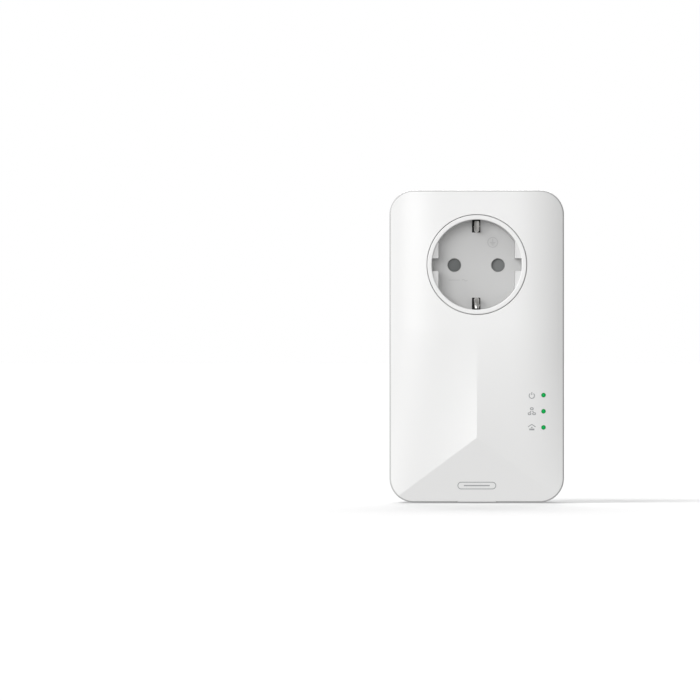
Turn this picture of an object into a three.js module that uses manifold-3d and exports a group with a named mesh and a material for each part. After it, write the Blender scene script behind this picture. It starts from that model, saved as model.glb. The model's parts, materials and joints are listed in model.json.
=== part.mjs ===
// A mains powerline adapter with a pass-through socket, in millimetres.
// The plug face's centre is the origin: +Y runs out along the pins, the front looks along -Y, +Z is up.
import * as THREE from 'three';
import { mergeVertices } from 'three/addons/utils/BufferGeometryUtils.js';
import Module from 'manifold-3d';

const wasm = await Module();
wasm.setup();

// Casing
const width = 75.6;
const height = 135.2;
const socketDrop = 32.2; // from the top edge to the socket's axis
const zTop = socketDrop;
const zBottom = socketDrop - height;
const cornerRadius = 10.5;
const depth = 36; // from the front edge to the back wall's outer face
const taper = 1.5; // what each side loses over the depth
const wall = 2;
const yBack = -18;
const yEdge = yBack - depth;
const seamDepth = 14.8; // behind the front edge
const gap = 0.3;

// Front face: a flat plateau that rolls off at the long sides and runs into a three-sided roof below
const crownHeight = 3;
const rollStart = 10;
const roofPeak = 28.1; // above the bottom edge
const roofEnd = 75; // above the bottom edge, where the plateau is whole
const plateThickness = 2.2;

// Socket
const ringRadius = 21.5;
const wellRadius = 19.5;
const wellDepth = 17.5;
const floorThickness = 2;
const pinSpacing = 19;
const pinHoleRadius = 2.83;
const guideInset = 16.6;
const guideChannel = 5.5;
const clipWidth = 2.35;
const clipSlot = 3.65;
const clipSlotInner = 14.2;
const clipSlotOuter = 21.1;
const yRing = yEdge - crownHeight;
const yFloor = yRing + wellDepth;
const yFloorBack = yFloor + floorThickness;
const shutterThickness = 1.4;
const yShutter = yFloorBack + 0.4;
const yCarrier = yShutter + shutterThickness + 0.4;
const yCarrierBack = -26.2;
const carrierScrews = [[15.8, -6.8], [-15.8, 6.8]];

// Plug
const plugRadius = 18.8;
const plugFlat = 16.2;
const plugRib = 5;
const pinRadius = 2.4;
const pinLength = 19;
const plugFlangeFront = -22.5;
const plugFlangeBack = -20.5;

// Boards and what stands on them
const modemBoard = { front: -48, back: -46.6 };
const powerBoard = { front: -24.6, back: -23 };
const boardHalfWidth = 33.5;
const boardTop = -23;
const boardBottom = -98.5;
const caseScrews = [[-30.5, -95], [30.5, -95], [-27.5, 24.5], [27.5, 24.5]];

// Things that reach the outside
const ledX = 28.9;
const ledHeights = [46.5, 39.5, 32.5]; // above the bottom edge
const port = { halfWidth: 8.3, front: yEdge + 7.7, back: yEdge + 22.2, face: -102 };
const button = { y: yEdge + 11.05, z: zBottom + 18.6, halfY: 2.9, halfZ: 4.35 };
const reset = { y: yEdge + 10.6, z: zBottom + 27.5, radius: 0.75 };

const colours = {
  casing: 0xf4f4f2, insert: 0xf0f0ee, shutter: 0xb9bab8, steel: 0xc9ccd0, brass: 0xc8a458, nickel: 0xd4d2cc,
  board: 0x1f5b3a, black: 0x1c1d1f, grey: 0x55585b, ferrite: 0x3a3c40, yellow: 0xd9b93a, blue: 0x2f62a8,
  clear: 0xe4efe6, green: 0x2fbf5f, carrier: 0xe9e6de, label: 0xdedfe0, red: 0x9a3a2e,
};

const group = new THREE.Group();

// Geometry to solid and back
function solid(geometry) {
  const plain = geometry.clone();
  plain.deleteAttribute('normal');
  plain.deleteAttribute('uv');
  const merged = mergeVertices(plain, 1e-4);
  return new wasm.Manifold(new wasm.Mesh({
    numProp: 3,
    vertProperties: new Float32Array(merged.attributes.position.array),
    triVerts: new Uint32Array(merged.index.array),
  }));
}

function add(name, body, colour, roughness = 0.5, metalness = 0) {
  const result = body.getMesh();
  const geometry = new THREE.BufferGeometry();
  geometry.setAttribute('position', new THREE.BufferAttribute(result.vertProperties, 3));
  geometry.setIndex(new THREE.BufferAttribute(result.triVerts, 1));
  geometry.computeVertexNormals();
  const finish = new THREE.MeshStandardMaterial({ color: colour, roughness, metalness });
  const mesh = new THREE.Mesh(geometry, finish);
  mesh.name = name;
  group.add(mesh);
}

// Building blocks, each named by its lowest and highest corners or by its axis
function box(x0, x1, y0, y1, z0, z1) {
  const geometry = new THREE.BoxGeometry(x1 - x0, y1 - y0, z1 - z0);
  geometry.translate((x0 + x1) / 2, (y0 + y1) / 2, (z0 + z1) / 2);
  return solid(geometry);
}

function rodY(x, z, radius, y0, y1, sides = 16) {
  const geometry = new THREE.CylinderGeometry(radius, radius, y1 - y0, sides);
  geometry.rotateY(Math.PI / sides);
  geometry.translate(x, (y0 + y1) / 2, z);
  return solid(geometry);
}

function rodX(y, z, radius, x0, x1, sides = 16) {
  const geometry = new THREE.CylinderGeometry(radius, radius, x1 - x0, sides);
  geometry.rotateZ(-Math.PI / 2);
  geometry.translate((x0 + x1) / 2, y, z);
  return solid(geometry);
}

function rodZ(x, y, radius, z0, z1, sides = 16) {
  const geometry = new THREE.CylinderGeometry(radius, radius, z1 - z0, sides);
  geometry.rotateX(Math.PI / 2);
  geometry.translate(x, y, (z0 + z1) / 2);
  return solid(geometry);
}

// A flat shape drawn in x and z, pushed from y0 to y1
function slab(shape, y0, y1, curveSegments = 6) {
  const geometry = new THREE.ExtrudeGeometry(shape, { depth: y1 - y0, bevelEnabled: false, curveSegments });
  geometry.rotateX(Math.PI / 2);
  geometry.translate(0, y1, 0);
  return solid(geometry);
}

// A flat shape drawn in y and z, pushed from x0 to x1
function slabX(points, x0, x1) {
  const shape = new THREE.Shape(points.map(([y, z]) => new THREE.Vector2(y, z)));
  const geometry = new THREE.ExtrudeGeometry(shape, { depth: x1 - x0, bevelEnabled: false });
  geometry.applyMatrix4(new THREE.Matrix4().set(0, 0, 1, x0, 1, 0, 0, 0, 0, 1, 0, 0, 0, 0, 0, 1));
  return solid(geometry);
}

function joined(bodies) {
  return bodies.reduce((whole, body) => whole.add(body));
}

function cut(body, tools) {
  return tools.reduce((rest, tool) => rest.subtract(tool), body);
}

function roundedOutline(inset) {
  const x = width / 2 - inset;
  const top = zTop - inset;
  const bottom = zBottom + inset;
  const r = cornerRadius - inset;
  const shape = new THREE.Shape();
  shape.absarc(x - r, top - r, r, 0, Math.PI / 2);
  shape.absarc(-x + r, top - r, r, Math.PI / 2, Math.PI);
  shape.absarc(-x + r, bottom + r, r, Math.PI, 1.5 * Math.PI);
  shape.absarc(x - r, bottom + r, r, 1.5 * Math.PI, 2 * Math.PI);
  return shape;
}

// The casing's outline as a solid, straight in front of the edge and narrowing behind it
function casingBlock(inset, y0, y1) {
  const geometry = new THREE.ExtrudeGeometry(roundedOutline(inset), {
    depth: y1 - y0, bevelEnabled: false, curveSegments: 6,
  });
  geometry.rotateX(Math.PI / 2);
  geometry.translate(0, y1, 0);
  const points = geometry.attributes.position;
  const zMiddle = (zTop + zBottom) / 2;
  for (let i = 0; i < points.count; i += 1) {
    const behind = Math.max(0, points.getY(i) - yEdge);
    const loss = taper * behind / depth;
    points.setX(i, points.getX(i) * (1 - loss / (width / 2)));
    points.setZ(i, zMiddle + (points.getZ(i) - zMiddle) * (1 - loss / (height / 2)));
  }
  return solid(geometry);
}

// How far the front face stands in front of its edge
function crown(x, z) {
  const side = Math.min(Math.abs(x), width / 2);
  const above = z - zBottom;
  const roof = crownHeight * (1 - side / (width / 2));
  const diagonal = roofPeak * (1 - side / (width / 2));
  if (above < diagonal) return Math.max(0, crownHeight * above / roofPeak);
  const roll = Math.max(0, side - rollStart) / (width / 2 - rollStart);
  const plateau = crownHeight * (1 - roll ** 4);
  const share = Math.max(0, (roofEnd - above) / (roofEnd - diagonal)) ** 1.25;
  return plateau + (roof - plateau) * share;
}

// Everything behind the crowned face, moved back by offset
function crownedBlock(offset, yEnd) {
  const across = 14;
  const along = 24;
  const geometry = new THREE.BoxGeometry(width, 1, height, across, 1, along);
  geometry.translate(0, 0, (zTop + zBottom) / 2);
  const points = geometry.attributes.position;
  for (let i = 0; i < points.count; i += 1) {
    const front = yEdge - crown(points.getX(i), points.getZ(i)) + offset;
    points.setY(i, points.getY(i) < 0 ? front : yEnd);
  }
  return solid(geometry);
}

// Casing
function frontCover() {
  const seam = yEdge + seamDepth - gap / 2;
  const outside = casingBlock(0, yRing - 1, yEdge).add(casingBlock(0, yEdge, seam));
  const inside = casingBlock(wall, yRing - 1, yEdge).add(casingBlock(wall, yEdge, seam + 1));
  const hollow = inside.intersect(crownedBlock(plateThickness, seam + 3));
  const shell = outside.intersect(crownedBlock(0, seam + 2)).subtract(hollow);
  const posts = caseScrews.map(([x, z]) => rodY(x, z, 3.6, yEdge - 0.2, seam - gap, 12));
  return cut(shell.add(joined(posts)), [
    ...caseScrews.map(([x, z]) => rodY(x, z, 1.6, yEdge + 1.2, seam + 1, 12)),
    rodY(0, 0, ringRadius + 0.35, yRing - 1, yEdge + 4, 48),
    ...ledHeights.map((above) => rodY(ledX, zBottom + above, 1.1, yRing - 1, yEdge + 4, 12)),
    box(-port.halfWidth - 0.4, port.halfWidth + 0.4, port.front - 0.4, seam + 1, zBottom - 1, zBottom + 5),
    box(
      width / 2 - 4, width / 2 + 1, button.y - button.halfY - 0.25, button.y + button.halfY + 0.25,
      button.z - button.halfZ - 0.25, button.z + button.halfZ + 0.25,
    ),
    rodX(reset.y, reset.z, reset.radius, width / 2 - 4, width / 2 + 1, 10),
  ]);
}

function rearHousing() {
  const seam = yEdge + seamDepth + gap / 2;
  const shell = casingBlock(0, yEdge, yBack).subtract(casingBlock(wall, yEdge - 1, yBack - wall))
    .subtract(box(-width, width, yEdge - 2, seam, zBottom - 1, zTop + 1));
  const sleeves = caseScrews.map(([x, z]) => rodY(x, z, 4.4, seam, yBack - 1, 12));
  return cut(shell.add(joined(sleeves)), [
    ...caseScrews.map(([x, z]) => rodY(x, z, 3.2, yBack - 10, yBack + 1, 12)),
    ...caseScrews.map(([x, z]) => rodY(x, z, 1.8, seam - 1, yBack, 12)),
    rodY(0, 0, plugRadius + gap, plugFlangeBack, yBack + 1, 36),
    box(-port.halfWidth - 0.4, port.halfWidth + 0.4, seam - 1, port.back + 0.4, zBottom - 1, zBottom + 5),
    box(-23, 23, yBack - 0.5, yBack + 1, -79, -39),
  ]);
}

function caseScrew(x, z) {
  const head = rodY(x, z, 2.7, yBack - 10.2 + gap, yBack - 8, 12);
  const shank = rodY(x, z, 1.4, yEdge + 3, yBack - 9.5, 10);
  const slots = [
    box(x - 1.5, x + 1.5, yBack - 8.9, yBack, z - 0.3, z + 0.3),
    box(x - 0.3, x + 0.3, yBack - 8.9, yBack, z - 1.5, z + 1.5),
  ];
  return cut(head.add(shank), slots);
}

// Socket
function socketInsert() {
  const profile = [
    [wellRadius, yRing], [ringRadius, yRing], [ringRadius, yRing + 2.5],
    [24.4, yRing + 2.5], [24.4, yRing + 3.8], [20.9, yRing + 3.8],
    [20.9, yFloorBack], [0, yFloorBack], [0, yFloor], [wellRadius, yFloor], [wellRadius, yRing],
  ];
  const geometry = new THREE.LatheGeometry(profile.map(([r, y]) => new THREE.Vector2(r, y)), 48);
  const cup = solid(geometry);
  const guides = rodY(0, 0, wellRadius + 0.4, yRing + 1, yFloor + 0.5, 48)
    .subtract(box(-guideInset, guideInset, yRing, yFloor + 1, -30, 30))
    .subtract(box(-30, 30, yRing, yFloor, -guideChannel / 2, guideChannel / 2));
  const posts = carrierScrews.map(([x, z]) => rodY(x, z, 2.4, yFloor + 1, yCarrier - 0.2, 12));
  return cut(cup.add(guides).add(joined(posts)), [
    rodY(pinSpacing / 2, 0, pinHoleRadius, yFloor - 1, yFloorBack + 1, 24),
    rodY(-pinSpacing / 2, 0, pinHoleRadius, yFloor - 1, yFloorBack + 1, 24),
    box(-clipSlot / 2, clipSlot / 2, yRing + 1.8, yFloorBack + 1, clipSlotInner, clipSlotOuter),
    box(-clipSlot / 2, clipSlot / 2, yRing + 1.8, yFloorBack + 1, -clipSlotOuter, -clipSlotInner),
    ...carrierScrews.map(([x, z]) => rodY(x, z, 1.1, yFloor + 1, yCarrier + 1, 10)),
  ]);
}

// Two wings that close the pin holes at rest and clear them when turned
function shutter() {
  const wing = THREE.MathUtils.degToRad(23);
  const reach = 13.2;
  const shape = new THREE.Shape();
  shape.absarc(0, 0, reach, -wing, wing);
  shape.absarc(0, 0, 4.2, wing + 0.5, Math.PI - wing - 0.5);
  shape.absarc(0, 0, reach, Math.PI - wing, Math.PI + wing);
  shape.absarc(0, 0, 4.2, Math.PI + wing + 0.5, 2 * Math.PI - wing - 0.5);
  return slab(shape, yShutter, yShutter + shutterThickness, 10)
    .subtract(rodY(0, 0, 1.7, yShutter - 1, yShutter + 3, 16));
}

function shutterSpring() {
  const turns = 2.5;
  const stepsPerTurn = 12;
  const points = [];
  for (let i = 0; i <= turns * stepsPerTurn; i += 1) {
    const angle = 2 * Math.PI * i / stepsPerTurn;
    const along = yCarrier + 0.7 + 1.1 * i / stepsPerTurn;
    points.push(new THREE.Vector3(3.1 * Math.cos(angle), along, 3.1 * Math.sin(angle)));
  }
  const section = new THREE.Shape().absarc(0, 0, 0.25, 0, 2 * Math.PI);
  const path = new THREE.CatmullRomCurve3(points);
  return solid(new THREE.ExtrudeGeometry(section, {
    steps: turns * stepsPerTurn, curveSegments: 3, bevelEnabled: false, extrudePath: path,
  }));
}

function contactCarrier() {
  const block = box(-18.5, 18.5, yCarrier, yCarrierBack, -9.3, 9.3);
  const spring = rodY(0, 0, 4.1, yCarrier - 1, yCarrier + 4.4, 20);
  const spindle = rodY(0, 0, 1.4, yShutter - 0.1, yCarrier + 5, 16);
  return cut(block, [
    spring,
    rodY(pinSpacing / 2, 0, 4, yCarrier - 1, yCarrierBack + 1, 20),
    rodY(-pinSpacing / 2, 0, 4, yCarrier - 1, yCarrierBack + 1, 20),
    ...carrierScrews.map(([x, z]) => rodY(x, z, 1.3, yCarrier - 1, yCarrierBack + 1, 10)),
  ]).add(spindle);
}

function carrierScrew(x, z) {
  const head = rodY(x, z, 2, yCarrierBack + 0.1, yCarrierBack + 1.4, 12);
  const shank = rodY(x, z, 0.9, yFloorBack - 0.2, yCarrierBack + 0.5, 10);
  const slot = box(x - 1.4, x + 1.4, yCarrierBack + 0.9, yCarrierBack + 2, z - 0.3, z + 0.3);
  return head.add(shank).subtract(slot);
}

// A split sleeve that grips a round pin
function pinContact(x) {
  const outer = rodY(x, 0, 3.6, yCarrier + gap, yCarrierBack - 0.2, 20);
  return cut(outer, [
    rodY(x, 0, 2.9, yCarrier, yCarrierBack, 20),
    box(x - 0.6, x + 0.6, yCarrier, yCarrierBack - 2, 0, 5),
  ]);
}

// From the plug pin's root to the contact, with a tail down to the power board
function linkBar(side) {
  const x = side * pinSpacing / 2;
  const near = yCarrierBack + gap;
  const far = plugFlangeFront + 7.2;
  const inner = side * 12.8;
  const outer = side * 13.8;
  const front = box(x - 4.1, x + 4.1, near, near + 1, -3.6, 3.6)
    .subtract(rodY(x, 0, 2.9, near - 1, near + 2, 16));
  const riser = box(Math.min(inner, outer), Math.max(inner, outer), near, far, -3, 3);
  const root = box(Math.min(x - side * 3, outer), Math.max(x - side * 3, outer), far - 1, far, -3, 3);
  const tail = box(Math.min(side * 10.2, outer), Math.max(side * 10.2, outer), near, near + 1, -27, -3);
  return joined([front, riser, root, tail]);
}

function earthBracket() {
  const near = yCarrierBack + gap;
  const clipBase = -33;
  return joined([
    box(-1.7, 1.7, near, near + 1, -18.2, 18.2),
    box(-1.7, 1.7, clipBase, near + 0.5, 17.3, 18.2),
    box(-1.7, 1.7, clipBase, near + 0.5, -18.2, -17.3),
  ]);
}

// A sprung strip that bulges into the well; side is +1 at the top and -1 at the bottom
function earthClip(side) {
  const line = [
    [-30, 16.75], [-39, 16.75], [-42.5, 16.2], [-45, 15.25], [-47, 14.75],
    [-49, 14.85], [-51.3, 15.9], [-53.2, 17.5], [-54.5, 18.95],
  ];
  const half = 0.26;
  const inner = line.map(([y, r]) => [y, side * (r - half)]);
  const outer = line.map(([y, r]) => [y, side * (r + half)]).reverse();
  const outline = inner.concat(outer);
  return slabX(side > 0 ? outline.reverse() : outline, -clipWidth / 2, clipWidth / 2);
}

// A narrow slot through the plug's flange that opens into a groove along its outside
function earthGroove(side) {
  const slot = box(-2.6, 2.6, plugFlangeFront - 1, yBack + 1.1, 16.6, 18.4);
  const groove = box(-2.6, 2.6, yBack + 1, 0.5, 16.6, 30);
  return slot.add(groove).scale([1, 1, side]);
}

// Plug
function plugBody() {
  const flange = rodY(0, 0, 21.4, plugFlangeFront, plugFlangeBack - 0.2, 36);
  const barrel = rodY(0, 0, plugRadius, plugFlangeFront, 0, 48);
  const flats = [-1, 1].map((side) => box(
    Math.min(side * plugFlat, side * 30), Math.max(side * plugFlat, side * 30), yBack + 1, 1, -30, 30,
  ).subtract(box(-30, 30, yBack, 2, -plugRib / 2, plugRib / 2)));
  const hollow = rodY(0, 0, 16, plugFlangeFront - 1, -3, 32)
    .intersect(box(-14.4, 14.4, plugFlangeFront - 1, -2, -14.6, 14.6));
  const earthHole = 10;
  const bosses = [-1, 1].map((side) => rodY(side * pinSpacing / 2, 0, 4.2, -12, -1, 20));
  const tube = rodY(0, earthHole, 3.9, -15, -1, 16);
  return cut(joined([cut(flange.add(barrel), [...flats, hollow]), ...bosses, tube]), [
    rodY(pinSpacing / 2, 0, pinRadius + gap, -13, 1, 20),
    rodY(-pinSpacing / 2, 0, pinRadius + gap, -13, 1, 20),
    rodY(0, earthHole, 2.9, -16, 1, 16),
    ...[-1, 1].map((side) => earthGroove(side)),
  ]);
}

function plugPin(x) {
  const profile = [
    [0, -14.9], [3.4, -14.9], [3.4, -12.3], [pinRadius, -12.3], [pinRadius, pinLength - 1.8],
    [pinRadius - 0.5, pinLength - 0.7], [1.2, pinLength - 0.1], [0, pinLength],
  ];
  const geometry = new THREE.LatheGeometry(profile.map(([r, y]) => new THREE.Vector2(r, y)), 20);
  geometry.translate(x, 0, 0);
  return solid(geometry);
}

function plugEarthStrip(side) {
  const line = [[-24.6, 17.3], [-14, 17.3], [-11, 17.8], [-4, 17.8], [-1.2, 17.2]];
  const half = 0.3;
  const inner = line.map(([y, r]) => [y, side * (r - half)]);
  const outer = line.map(([y, r]) => [y, side * (r + half)]).reverse();
  const outline = inner.concat(outer);
  return slabX(side > 0 ? outline : outline.reverse(), -2, 2);
}

function plugEarthSocket() {
  return rodY(0, 10, 2.65, -14.5, -0.8, 16).subtract(rodY(0, 10, 2.2, -15, 0, 16));
}

// Boards: each has round notches for the casing's posts
function board(place, top) {
  const plate = box(-boardHalfWidth, boardHalfWidth, place.front, place.back, boardBottom, top);
  const notches = caseScrews.slice(0, 2).map(([x, z]) => rodY(x, z, 5, place.front - 1, place.back + 1, 12));
  return cut(plate, notches);
}

// A block or a can standing on a board's component side
function onPower(x, z, sizeX, sizeZ, tall) {
  const foot = powerBoard.front - 0.1;
  return box(x - sizeX / 2, x + sizeX / 2, foot - tall, foot, z - sizeZ / 2, z + sizeZ / 2);
}

function onModem(x, z, sizeX, sizeZ, tall) {
  const foot = modemBoard.back + 0.1;
  return box(x - sizeX / 2, x + sizeX / 2, foot, foot + tall, z - sizeZ / 2, z + sizeZ / 2);
}

function choke() {
  const profile = [];
  const sides = 10;
  for (let i = 0; i < sides; i += 1) {
    const angle = 2 * Math.PI * i / sides;
    profile.push(new THREE.Vector2(7 + 3.2 * Math.cos(angle), 3.6 * Math.sin(angle)));
  }
  profile.push(profile[0].clone());
  const geometry = new THREE.LatheGeometry(profile, 24);
  geometry.translate(22.8, powerBoard.front - 3.8, -36.5);
  return solid(geometry);
}

// A core with a window on each side of its winding
function transformer() {
  const x = 19;
  const windows = [-1, 1].map((side) => box(
    x + side * 6.2 - 1.3, x + side * 6.2 + 1.3, powerBoard.front - 12, powerBoard.front - 3, -70, -50,
  ));
  return cut(onPower(x, -60, 18, 16, 14), windows);
}

function heatSink() {
  const base = onModem(-10, -50, 20, 20, 6).translate([0, 1.5, 0]);
  const gaps = [];
  for (let i = -2; i <= 2; i += 1) {
    const middle = -10 + i * 4;
    gaps.push(box(middle - 1.2, middle + 1.2, modemBoard.back + 3.2, modemBoard.back + 12, -70, -30));
  }
  return cut(base, gaps);
}

function shieldCan() {
  const can = onModem(14, -48, 22, 20, 3.2);
  return can.subtract(box(3.4, 24.6, modemBoard.back, modemBoard.back + 2.9, -57.6, -38.4))
    .subtract(rodY(14, -48, 1, modemBoard.back, modemBoard.back + 5, 8));
}

// Ethernet jack: a deep mouth with a notch for the latch on the side away from its board
const jackTop = port.face + 18;
const mouth = { front: port.front + 1.8, back: port.back - 4.6, notch: port.back - 1.8, end: port.face + 14 };

function ethernetJack() {
  const body = box(-port.halfWidth, port.halfWidth, port.front, port.back, port.face, jackTop);
  return cut(body, [
    box(-5.95, 5.95, mouth.front, mouth.back, port.face - 1, mouth.end),
    box(-3.2, 3.2, mouth.back - 0.5, mouth.notch, port.face - 1, mouth.end),
  ]);
}

function jackContacts() {
  const bar = box(-5.2, 5.2, mouth.front + 0.2, mouth.front + 1.2, mouth.end - 3, mouth.end - 0.3);
  const wires = [];
  for (let i = 0; i < 8; i += 1) {
    const x = (i - 3.5) * 1.27;
    const low = [mouth.front + 0.3, port.face + 3.2];
    wires.push(slabX([
      low, [low[0] + 0.35, low[1]],
      [mouth.front + 3.2, mouth.end - 2.9], [mouth.front + 3.2, mouth.end - 0.5],
      [mouth.front + 1, mouth.end - 0.5], [mouth.front + 1, mouth.end - 2.6],
    ], x - 0.22, x + 0.22));
  }
  return joined([bar, ...wires]);
}

// Buttons and switches on the right-hand side
const cap = { outer: width / 2 - taper * (button.y - yEdge) / depth, flangeFront: 35, flangeBack: 33.9 };

function pairButton() {
  const slant = 1.1;
  const y0 = button.y - button.halfY;
  const y1 = button.y + button.halfY;
  const z0 = button.z - button.halfZ;
  const z1 = button.z + button.halfZ;
  const outline = [
    [y0, z0 + slant], [y0 + slant, z0], [y1, z0], [y1, z1], [y0 + slant, z1], [y0, z1 - slant],
  ];
  const front = slabX(outline, cap.flangeFront - 0.2, cap.outer);
  return front.add(box(cap.flangeBack, cap.flangeFront, y0 - 0.6, y1 + 0.1, z0 - 0.8, z1 + 0.8));
}

function switchBody(place, halfZ) {
  const foot = modemBoard.back + 0.1;
  return box(29.2, 33, foot, place.y + 2.9, place.z - halfZ, place.z + halfZ)
    .subtract(rodX(place.y, place.z, 1.8, 31.2, 34, 12));
}

function switchPlunger(place, end) {
  return rodX(place.y, place.z, 1.5, 32.2, end, 12);
}

function led(above) {
  const foot = modemBoard.front - 0.1;
  const z = zBottom + above;
  return box(ledX - 0.8, ledX + 0.8, foot - 0.9, foot, z - 0.8, z + 0.8);
}

function lightGuide() {
  const back = modemBoard.front - 1.3;
  const middle = zBottom + ledHeights[1];
  const pipes = ledHeights.map((above) => {
    const z = zBottom + above;
    return rodY(ledX, z, 0.85, yEdge - crown(ledX, z), back - 0.5, 12);
  });
  return box(ledX - 1.7, ledX + 1.7, back - 1.2, back, middle - 9.2, middle + 9.2).add(joined(pipes));
}

// The assembly
const { casing, insert, steel, brass, nickel, black, grey } = colours;
add('front_cover', frontCover(), casing, 0.42);
add('rear_housing', rearHousing(), casing, 0.5);
caseScrews.forEach(([x, z], i) => add(`case_screw_${i + 1}`, caseScrew(x, z), steel, 0.35, 1));
add('rating_label', box(-22.7, 22.7, yBack - 0.4, yBack - 0.1, -78.7, -39.3), colours.label, 0.6);

add('socket_insert', socketInsert(), insert, 0.4);
add('shutter', shutter(), colours.shutter, 0.5);
add('shutter_spring', shutterSpring(), steel, 0.3, 1);
add('contact_carrier', contactCarrier(), colours.carrier, 0.6);
carrierScrews.forEach(([x, z], i) => add(`carrier_screw_${i + 1}`, carrierScrew(x, z), steel, 0.35, 1));
add('line_contact', pinContact(-pinSpacing / 2), brass, 0.3, 1);
add('neutral_contact', pinContact(pinSpacing / 2), brass, 0.3, 1);
add('line_link', linkBar(-1), brass, 0.35, 1);
add('neutral_link', linkBar(1), brass, 0.35, 1);
add('earth_bracket', earthBracket(), steel, 0.35, 1);
add('earth_clip_top', earthClip(1), nickel, 0.25, 1);
add('earth_clip_bottom', earthClip(-1), nickel, 0.25, 1);

add('plug_body', plugBody(), insert, 0.45);
add('line_pin', plugPin(-pinSpacing / 2), nickel, 0.25, 1);
add('neutral_pin', plugPin(pinSpacing / 2), nickel, 0.25, 1);
add('plug_earth_strip_top', plugEarthStrip(1), nickel, 0.3, 1);
add('plug_earth_strip_bottom', plugEarthStrip(-1), nickel, 0.3, 1);
add('plug_earth_socket', plugEarthSocket(), nickel, 0.3, 1);

add('power_board', board(powerBoard, boardTop - 1), colours.board, 0.6);
add('fuse', rodY(-26, -35, 4.2, powerBoard.front - 8, powerBoard.front - 0.1), grey, 0.6);
add('varistor', rodZ(-14, powerBoard.front - 6.3, 6, -37.5, -33), colours.blue, 0.5);
add('x2_capacitor', onPower(2, -35.5, 18, 8.5, 14), colours.yellow, 0.5);
add('choke', choke(), colours.ferrite, 0.6);
add('bridge_rectifier', onPower(-25, -50, 8.5, 6.5, 3.4), black, 0.5);
[-12.5, -1].forEach((x, i) => {
  add(`bulk_capacitor_${i + 1}`, rodZ(x, powerBoard.front - 5.3, 5, -64, -46, 20), black, 0.4);
});
add('transformer', transformer(), colours.ferrite, 0.6);
add('output_capacitor', rodY(2, -74, 4, powerBoard.front - 11, powerBoard.front - 0.1), black, 0.4);
add('signal_coupler', onPower(-23, -68, 11, 10, 7.5), colours.red, 0.6);

add('modem_board', board(modemBoard, boardTop), colours.board, 0.6);
add('modem_chip', onModem(-10, -50, 13, 13, 1.2), black, 0.5);
add('heat_sink', heatSink(), grey, 0.45, 0.8);
add('memory_chip', onModem(-25, -62, 11, 7, 1.1), black, 0.5);
add('shield_can', shieldCan(), steel, 0.35, 1);
add('crystal', onModem(-24, -74, 5, 3.2, 1.2), steel, 0.35, 1);
add('ethernet_transformer', onModem(-8, -77, 13, 8, 5.8), black, 0.5);
const connectorEnd = powerBoard.front - 0.1;
add('board_connector', box(14, 26, modemBoard.back + 0.1, connectorEnd, -79.5, -74.5), black, 0.6);
add('ethernet_jack', ethernetJack(), grey, 0.5);
add('jack_contacts', jackContacts(), brass, 0.25, 1);

add('pair_button', pairButton(), casing, 0.42);
add('pair_switch', switchBody(button, 3.2), black, 0.5);
add('pair_plunger', switchPlunger(button, cap.flangeBack - gap), grey, 0.5);
add('reset_switch', switchBody(reset, 3), black, 0.5);
add('reset_plunger', switchPlunger(reset, 34.2), grey, 0.5);
['led_power', 'led_network', 'led_home'].forEach((name, i) => {
  add(name, led(ledHeights[i]), colours.green, 0.4);
});
add('light_guide', lightGuide(), colours.clear, 0.2);

export default group;
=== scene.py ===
import json
import math

import bmesh
import bpy
from mathutils import Matrix, Vector


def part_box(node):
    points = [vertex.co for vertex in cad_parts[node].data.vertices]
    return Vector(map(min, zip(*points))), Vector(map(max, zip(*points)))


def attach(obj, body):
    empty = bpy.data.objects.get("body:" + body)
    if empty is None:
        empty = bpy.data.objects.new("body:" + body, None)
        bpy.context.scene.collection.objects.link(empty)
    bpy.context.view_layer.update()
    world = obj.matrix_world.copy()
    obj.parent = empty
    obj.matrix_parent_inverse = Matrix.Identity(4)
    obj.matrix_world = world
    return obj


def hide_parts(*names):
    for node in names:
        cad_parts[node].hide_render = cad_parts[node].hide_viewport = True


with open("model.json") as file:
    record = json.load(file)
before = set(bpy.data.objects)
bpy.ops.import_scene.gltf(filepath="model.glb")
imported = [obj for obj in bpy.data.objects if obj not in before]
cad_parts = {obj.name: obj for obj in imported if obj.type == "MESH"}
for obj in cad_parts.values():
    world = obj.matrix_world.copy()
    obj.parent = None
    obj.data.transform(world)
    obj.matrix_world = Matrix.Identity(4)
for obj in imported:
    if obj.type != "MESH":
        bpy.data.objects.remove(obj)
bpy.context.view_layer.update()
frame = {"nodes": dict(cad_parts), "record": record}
mm = 0.001  # shapes are drawn in millimetres and made in metres

# the casing's shape, with heights counted from its bottom edge and depths from its front edge
casing = {
    "cornerRadius": 10.5,
    "cornerSteps": 40,
    "depth": 36.0,
    "taper": 1.5,
    "wall": 2.0,
    "plate": 2.2,
    "seamDepth": 14.8,
    "seamGap": 0.3,
    "seamRound": 0.12,
    "portGap": 0.4,
    "portDepth": 5.0,
    "edgeRound": 0.6,
    "crown": 3.0,
    "rollStart": 10.0,
    "roofPeak": 28.1,
    "roofEnd": 75.0,
}


def nodeBox(node):
    low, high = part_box(node)
    return low / mm, high / mm


coverLow, coverHigh = nodeBox("front_cover")
plugLow, plugHigh = nodeBox("plug_body")
halfWidth = coverHigh.x
topZ, bottomZ = coverHigh.z, coverLow.z
middleZ = (topZ + bottomZ) / 2
ringY = coverLow.y
edgeY = ringY + casing["crown"]
backY = edgeY + casing["depth"]


def meshObject(name, bm, finish=None):
    # turns the faces outwards and makes millimetres metres
    bmesh.ops.recalc_face_normals(bm, faces=bm.faces)
    bmesh.ops.scale(bm, vec=(mm, mm, mm), verts=bm.verts)
    mesh = bpy.data.meshes.new(name)
    bm.to_mesh(mesh)
    bm.free()
    obj = bpy.data.objects.new(name, mesh)
    bpy.context.scene.collection.objects.link(obj)
    if finish:
        mesh.materials.append(finish)
    return obj


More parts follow.
